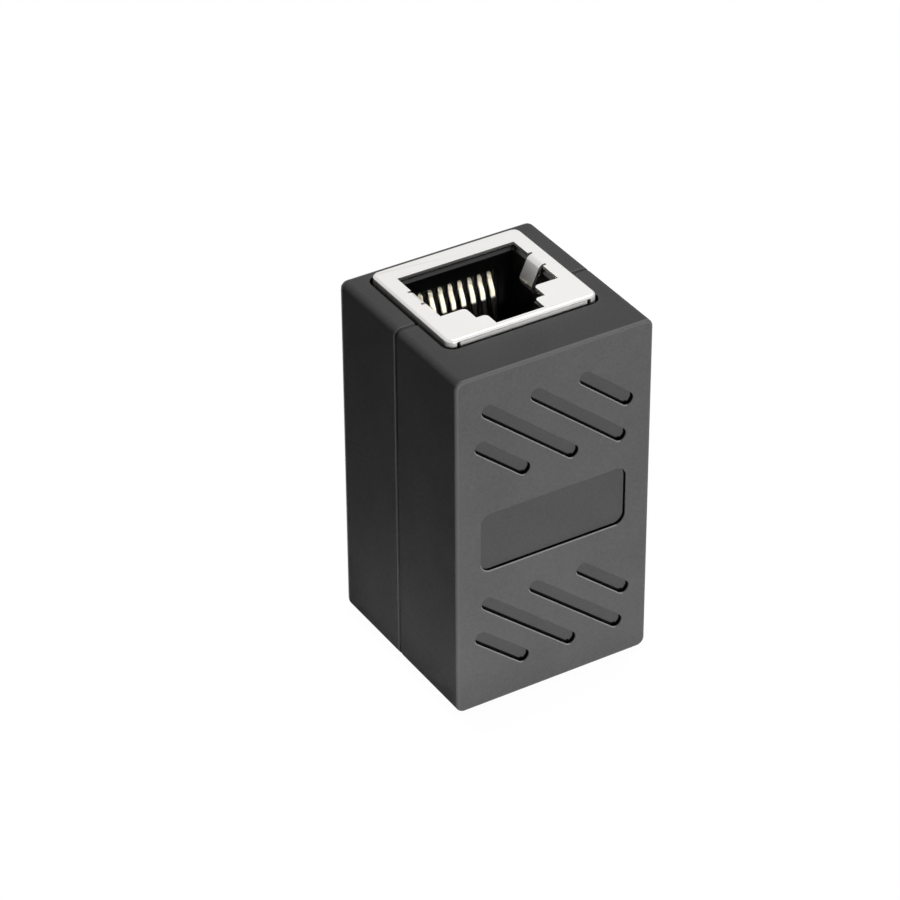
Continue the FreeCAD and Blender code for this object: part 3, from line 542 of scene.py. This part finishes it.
def glass_filled_pbt():
    material = new_material("glass_filled_pbt_black")
    place = add_node(material, "ShaderNodeTexCoord")
    stretch = add_node(material, "ShaderNodeMapping",
                       settings={"Scale": (1.0, 1.0, FIBRE_STRETCH)},
                       links={"Vector": (place, "Object")})
    streaks = add_node(material, "ShaderNodeTexNoise",
                       settings={"Scale": per_metre(FIBRE_MM), "Detail": 4.0, "Roughness": 0.6},
                       links={"Vector": (stretch, "Vector")})
    tone = add_node(material, "ShaderNodeMix",
                    attributes={"data_type": "RGBA"},
                    settings={"A": linear("#121212"), "B": linear("#181818")},
                    links={"Factor": (streaks, "Fac")})
    sheen = add_node(material, "ShaderNodeMapRange",
                     settings={"To Min": 0.28, "To Max": 0.38},
                     links={"Value": (streaks, "Fac")})
    ripple = add_node(material, "ShaderNodeBump",
                      settings={"Strength": 0.15, "Distance": FIBRE_RIPPLE},
                      links={"Height": (streaks, "Fac")})
    shader = add_node(material, "ShaderNodeBsdfPrincipled",
                      settings={"IOR": PBT_IOR},
                      links={"Base Color": (tone, "Result"), "Roughness": (sheen, "Result"),
                             "Normal": (ripple, "Normal")})
    return finish_surface(material, shader)


# %% [markdown]
# The shields are brass sheet, rolled and then nickel plated. Nickel is a slightly warm, pale metal.
# The rolling leaves very fine lines along the sheet. They are drawn as a noise that is stretched along
# the sheet, and they make the bezel look satin. On the bezel's sides a partly matt copy scatters light
# more than it mirrors it, as painted light meant to lighten them.

# %% Nickel plate on rolled sheet
ROLLING_MM = 0.12
ROLLING_STRETCH = 0.04
ROLLING_DEPTH = 0.004 * MM


def nickel_plated_sheet(name, metallic):
    """Satin nickel. metallic is 1 for clean plate, and less for the sides' partly matt copy, painted light.
    """
    material = new_material(name)
    place = add_node(material, "ShaderNodeTexCoord")
    stretch = add_node(material, "ShaderNodeMapping",
                       settings={"Scale": (ROLLING_STRETCH, 1.0, 1.0)},
                       links={"Vector": (place, "Object")})
    rolling = add_node(material, "ShaderNodeTexNoise",
                       settings={"Scale": per_metre(ROLLING_MM), "Detail": 3.0, "Roughness": 0.55},
                       links={"Vector": (stretch, "Vector")})
    sheen = add_node(material, "ShaderNodeMapRange",
                     settings={"To Min": 0.36, "To Max": 0.42},
                     links={"Value": (rolling, "Fac")})
    lines = add_node(material, "ShaderNodeBump",
                     settings={"Strength": 0.03, "Distance": ROLLING_DEPTH},
                     links={"Height": (rolling, "Fac")})
    shader = add_node(material, "ShaderNodeBsdfPrincipled",
                      settings={"Base Color": linear("#D6D5D3"), "Metallic": metallic},
                      links={"Roughness": (sheen, "Result"), "Normal": (lines, "Normal")})
    return finish_surface(material, shader)


# %% [markdown]
# The spring wires are phosphor bronze with a thin gold flash over nickel. So thin a layer is paler than
# solid gold, and the drawn wire under it gives it faint lengthwise lines. Only the part that a plug
# touches is plated, so each wire is bright near its crown. Further in, the wire is painted nearly
# black, far darker than bare bronze, as painted shade deep in the port. The height above the
# coupler's middle, taken without its sign, gives that limit for both jacks at once.

# %% Gold flash on bronze wire
PLATED_AND_LIT_LENGTH = 2.0 * MM
PLATING_AND_SHADE_EDGE = 0.2 * MM
DRAWING_MM = 0.1
DRAWING_STRETCH = 0.08
middle_height = (cad_low.z + cad_high.z) / 2
crown_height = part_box("upper_contact_1")[1].z - middle_height


def gold_flashed_bronze():
    material = new_material("gold_flashed_bronze_painted_shade")
    place = add_node(material, "ShaderNodeTexCoord")
    stretch = add_node(material, "ShaderNodeMapping",
                       settings={"Scale": (1.0, 1.0, DRAWING_STRETCH)},
                       links={"Vector": (place, "Object")})
    drawing = add_node(material, "ShaderNodeTexNoise",
                       settings={"Scale": per_metre(DRAWING_MM), "Detail": 2.0, "Roughness": 0.5},
                       links={"Vector": (stretch, "Vector")})
    sheen = add_node(material, "ShaderNodeMapRange",
                     settings={"To Min": 0.8, "To Max": 0.88},
                     links={"Value": (drawing, "Fac")})
    height = add_node(material, "ShaderNodeSeparateXYZ", links={"Vector": (place, "Object")})
    above = add_node(material, "ShaderNodeMath",
                     attributes={"operation": "SUBTRACT"},
                     settings={1: middle_height},
                     links={0: (height, "Z")})
    from_middle = add_node(material, "ShaderNodeMath",
                           attributes={"operation": "ABSOLUTE"},
                           links={0: (above, "Value")})
    plated_and_lit = add_node(material, "ShaderNodeMapRange",
                      settings={"From Min": crown_height - PLATED_AND_LIT_LENGTH - PLATING_AND_SHADE_EDGE,
                                "From Max": crown_height - PLATED_AND_LIT_LENGTH},
                      links={"Value": (from_middle, "Value")})
    # Below the plated length the wire is painted nearly black, as painted shade deep in the port.
    tone = add_node(material, "ShaderNodeMix",
                    attributes={"data_type": "RGBA"},
                    settings={"A": linear("#2A2724"), "B": linear("#FBF5E6")},
                    links={"Factor": (plated_and_lit, "Result")})
    shader = add_node(material, "ShaderNodeBsdfPrincipled",
                      settings={"Metallic": 1.0},
                      links={"Base Color": (tone, "Result"), "Roughness": (sheen, "Result")})
    return finish_surface(material, shader)


# %% [markdown]
# The board is glass cloth in epoxy under a green solder mask. The mask is a smooth lacquer, and the
# weave of the cloth under it shows only as a faint crossed ripple.

# %% Solder mask on glass epoxy
WEAVE_MM = 0.5
WEAVE_DEPTH = 0.01 * MM
MASK_IOR = 1.55


def solder_masked_board():
    material = new_material("solder_mask_on_glass_epoxy")
    place = add_node(material, "ShaderNodeTexCoord")
    across = add_node(material, "ShaderNodeTexWave",
                      attributes={"bands_direction": "X"},
                      settings={"Scale": per_metre(WEAVE_MM) / math.tau, "Distortion": 0.4},
                      links={"Vector": (place, "Object")})
    along = add_node(material, "ShaderNodeTexWave",
                     attributes={"bands_direction": "Y"},
                     settings={"Scale": per_metre(WEAVE_MM) / math.tau, "Distortion": 0.4},
                     links={"Vector": (place, "Object")})
    weave = add_node(material, "ShaderNodeMath",
                     attributes={"operation": "MULTIPLY"},
                     links={0: (across, "Fac"), 1: (along, "Fac")})
    tone = add_node(material, "ShaderNodeMix",
                    attributes={"data_type": "RGBA"},
                    settings={"A": linear("#1C4A33"), "B": linear("#245A3F")},
                    links={"Factor": (weave, "Value")})
    ripple = add_node(material, "ShaderNodeBump",
                      settings={"Strength": 0.2, "Distance": WEAVE_DEPTH},
                      links={"Height": (weave, "Value")})
    shader = add_node(material, "ShaderNodeBsdfPrincipled",
                      settings={"IOR": MASK_IOR, "Roughness": 0.3},
                      links={"Base Color": (tone, "Result"), "Normal": (ripple, "Normal")})
    return finish_surface(material, shader)


# %% [markdown]
# Each finish is made once and shared by the pieces that have it. The board stays the frame's own solid,
# so its mesh isn't touched, and the material goes on the object instead.

# %% Give every piece its material
def dress(pieces, *materials):
    """One material for each slot, in order."""
    for piece in pieces:
        while len(piece.data.materials) < len(materials):
            piece.data.materials.append(None)
        for index, material in enumerate(materials):
            piece.data.materials[index] = material


def dress_node(node_name, material):
    """A solid that stays keeps its mesh, and only its material slot changes."""
    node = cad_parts[node_name]
    for material_slot in node.material_slots:
        material_slot.link = "OBJECT"
        material_slot.material = material


dress(sleeve,
      spark_eroded_abs("spark_eroded_abs_grey", "#4F4F4F", "#717171",
                       dullness=0.8, specular=0.02, pits=0.35),
      spark_eroded_abs("burnished_abs_edge", "#585858", "#626262",
                       dullness=0.55, specular=0.25, pits=0.1),
      # Floors: finer grain, and painted darker as shade.
      spark_eroded_abs("fine_abs_floor_painted_shade", "#4A4A4A", "#606060",
                       dullness=0.8, specular=0.04, pits=0.2),
      # Walls: painted near black as shade.
      spark_eroded_abs("abs_wall_painted_shade", "#101010", "#1A1A1A",
                       dullness=0.9, specular=0.0, pits=0.35),
      # Lower rims: painted pale as a highlight.
      spark_eroded_abs("abs_lip_painted_highlight", "#8C8C8C", "#989898",
                       dullness=0.4, specular=0.4, pits=0.1))
dress(shields,
      nickel_plated_sheet("nickel_plated_rolled_sheet", metallic=1.0),
      # The bezel's sides: a partly matt copy of the nickel, painted light.
      nickel_plated_sheet("nickel_plated_side_painted_light", metallic=0.3))
dress(mouldings, glass_filled_pbt())
dress(contacts, gold_flashed_bronze())
dress_node("circuit_board", solder_masked_board())
print("materials:", sorted(material.name for material in bpy.data.materials))

# %% [markdown]
# The coupler stands on white paper in an evenly white studio. White light from all round would wash out
# the dark plastic, so the white is shown only to the rays that look at it. The Light Path node tells
# them apart: rays from the camera, from a mirror and through glass see white, and the light that
# falls on a matt surface stays low.

# %% Tell the rays apart
def seen_directly(owner):
    """A node that gives 1 for rays from the camera, a mirror or a lens, and 0 for light on a matt surface."""
    ray = add_node(owner, "ShaderNodeLightPath")
    seen = add_node(owner, "ShaderNodeMath",
                    attributes={"operation": "MAXIMUM"},
                    links={0: (ray, "Is Camera Ray"), 1: (ray, "Is Glossy Ray")})
    seen_or_through = add_node(owner, "ShaderNodeMath",
                               attributes={"operation": "MAXIMUM"},
                               links={0: (seen, "Value"), 1: (ray, "Is Transmission Ray")})
    return seen_or_through


# %% [markdown]
# The paper is a mix of a plain matt surface, which holds the coupler's shadow, and a glow that lifts it
# to white. Most of what the camera sees is the glow, at a strength that brings the mix just to white.

# %% Floor
FLOOR_SIDE = 4.0
PAPER_GREY = "#6C6C6C"
GLOW_SHARE = 0.7
GLOW_STRENGTH = 1.4


def white_paper():
    material = new_material("white_paper_sweep")
    paper = add_node(material, "ShaderNodeBsdfDiffuse", settings={"Color": linear(PAPER_GREY)})
    glow = add_node(material, "ShaderNodeEmission", settings={"Strength": GLOW_STRENGTH})
    share = add_node(material, "ShaderNodeMath",
                     attributes={"operation": "MULTIPLY"},
                     settings={1: GLOW_SHARE},
                     links={0: (seen_directly(material), "Value")})
    mixed = add_node(material, "ShaderNodeMixShader",
                     links={"Fac": (share, "Value"), 1: (paper, "BSDF"), 2: (glow, "Emission")})
    return finish_surface(material, mixed, "Shader")


bpy.ops.object.select_all(action="DESELECT")
bpy.ops.mesh.primitive_plane_add(size=FLOOR_SIDE, location=(0.0, 0.0, cad_low.z))
floor = bpy.context.active_object
floor.name = "studio_floor"
floor.data.materials.append(white_paper())
print("floor at height in mm:", round(cad_low.z / MM, 2))

# %% [markdown]
# The world is the rest of the studio. It is pure white to look at, and gives very little light itself.

# %% World
AMBIENT = 0.008
world = bpy.data.worlds.new("studio")
bpy.context.scene.world = world
world.use_nodes = True
world.node_tree.nodes.clear()
level = add_node(world, "ShaderNodeMapRange",
                 settings={"To Min": AMBIENT, "To Max": 1.0},
                 links={"Value": (seen_directly(world), "Value")})
sky = add_node(world, "ShaderNodeBackground",
               settings={"Color": linear("#FFFFFF")},
               links={"Strength": (level, "Result")})
add_node(world, "ShaderNodeOutputWorld", links={"Surface": (sky, "Background")})
print("world:", world.name, "ambient level:", AMBIENT)

# %% [markdown]
# A long, low softbox in front lights the grooved face evenly. A square one, high up on the right, lights
# the top. Its middle is behind the front face, so little of its light falls into the grooves, and their
# lower walls stay dark.

# %% Softboxes
def softbox(name, place, aim, width, height, watts):
    """A rectangular area lamp at a place, turned to face its aim."""
    lamp = bpy.data.lights.new(name, "AREA")
    lamp.shape = "RECTANGLE"
    lamp.size = width
    lamp.size_y = height
    lamp.energy = watts
    holder = bpy.data.objects.new(name, lamp)
    bpy.context.scene.collection.objects.link(holder)
    holder.location = place
    holder.rotation_euler = (Vector(aim) - Vector(place)).to_track_quat("-Z", "Y").to_euler()
    return holder


centre = (cad_low + cad_high) / 2
softbox("key_softbox", place=(-0.03, -0.8, 0.03), aim=centre, width=0.3, height=0.06, watts=5.3)
softbox("top_softbox", place=(0.25, 0.08, 0.62), aim=centre, width=0.3, height=0.3, watts=2.6)

# %% [markdown]
# Three narrow beams finish the light. Two fall on the paper, beside the left side and in front, and the
# paper throws their light back up, so both faces are brightest at the foot. The third comes in low over
# the front of the bezel and picks out the contact wires. A small spread keeps each beam off everything
# else.

# %% Narrow beams
BEAM_SPREAD = math.radians(3)
BEAM_HEIGHT = 250 * MM
STRAIGHT_DOWN = Vector((0.0, 0.0, -1.0))
LEFT_GAP = 10.5 * MM
FRONT_GAP = 14.0 * MM
LEFT_BEAM_Y = -6.0 * MM
PORT_BEAM_FROM = Vector((0.0, -47.0, 38.0)) * MM


def narrow_beam(name, place, aim, width, height, watts):
    """A softbox with its light gathered into a beam."""
    softbox(name, place, aim, width, height, watts).data.spread = BEAM_SPREAD


left_place = Vector((cad_low.x - LEFT_GAP, LEFT_BEAM_Y, BEAM_HEIGHT))
narrow_beam("floor_strip", left_place, left_place + STRAIGHT_DOWN,
            width=0.012, height=0.03, watts=0.0098)
front_place = Vector((0.0, cad_low.y - FRONT_GAP, BEAM_HEIGHT))
narrow_beam("front_floor_strip", front_place, front_place + STRAIGHT_DOWN,
            width=0.03, height=0.012, watts=0.006)
port_mouth = Vector((0.0, 0.0, cad_high.z))
narrow_beam("port_strip", port_mouth + PORT_BEAM_FROM, port_mouth,
            width=0.009, height=0.003, watts=0.00012)
print("lamps:", sorted(lamp.name for lamp in bpy.data.lights))

# %% [markdown]
# The photograph looks down on the coupler from the left. A long lens used from close by gives the small
# amount of perspective that it has. Azimuth, elevation and distance place the camera, and a very small
# roll turns the picture as in the photograph.

# %% Camera
AZIMUTH = math.radians(-31.139)
ELEVATION = math.radians(33.960)
ROLL = math.radians(-0.376)
AIM = Vector((-2.95, 2.66, 19.30)) * MM
DISTANCE = 338.85 * MM
SENSOR_WIDTH = 36.0
LENS = 151.49
NEAREST_SEEN = 10 * MM
backward = Vector((math.sin(AZIMUTH) * math.cos(ELEVATION),
                   -math.cos(AZIMUTH) * math.cos(ELEVATION),
                   math.sin(ELEVATION)))
camera_data = bpy.data.cameras.new("camera")
camera_data.sensor_width = SENSOR_WIDTH
camera_data.lens = LENS
camera_data.clip_start = NEAREST_SEEN
camera = bpy.data.objects.new("camera", camera_data)
bpy.context.scene.collection.objects.link(camera)
camera.location = AIM + backward * DISTANCE
upright = backward.to_track_quat("Z", "Y")
camera.rotation_euler = (upright @ Quaternion((0.0, 0.0, 1.0), ROLL)).to_euler()
bpy.context.scene.camera = camera
bpy.context.scene.view_settings.view_transform = "Standard"
print("camera in mm:", [round(along / MM, 1) for along in camera.location])
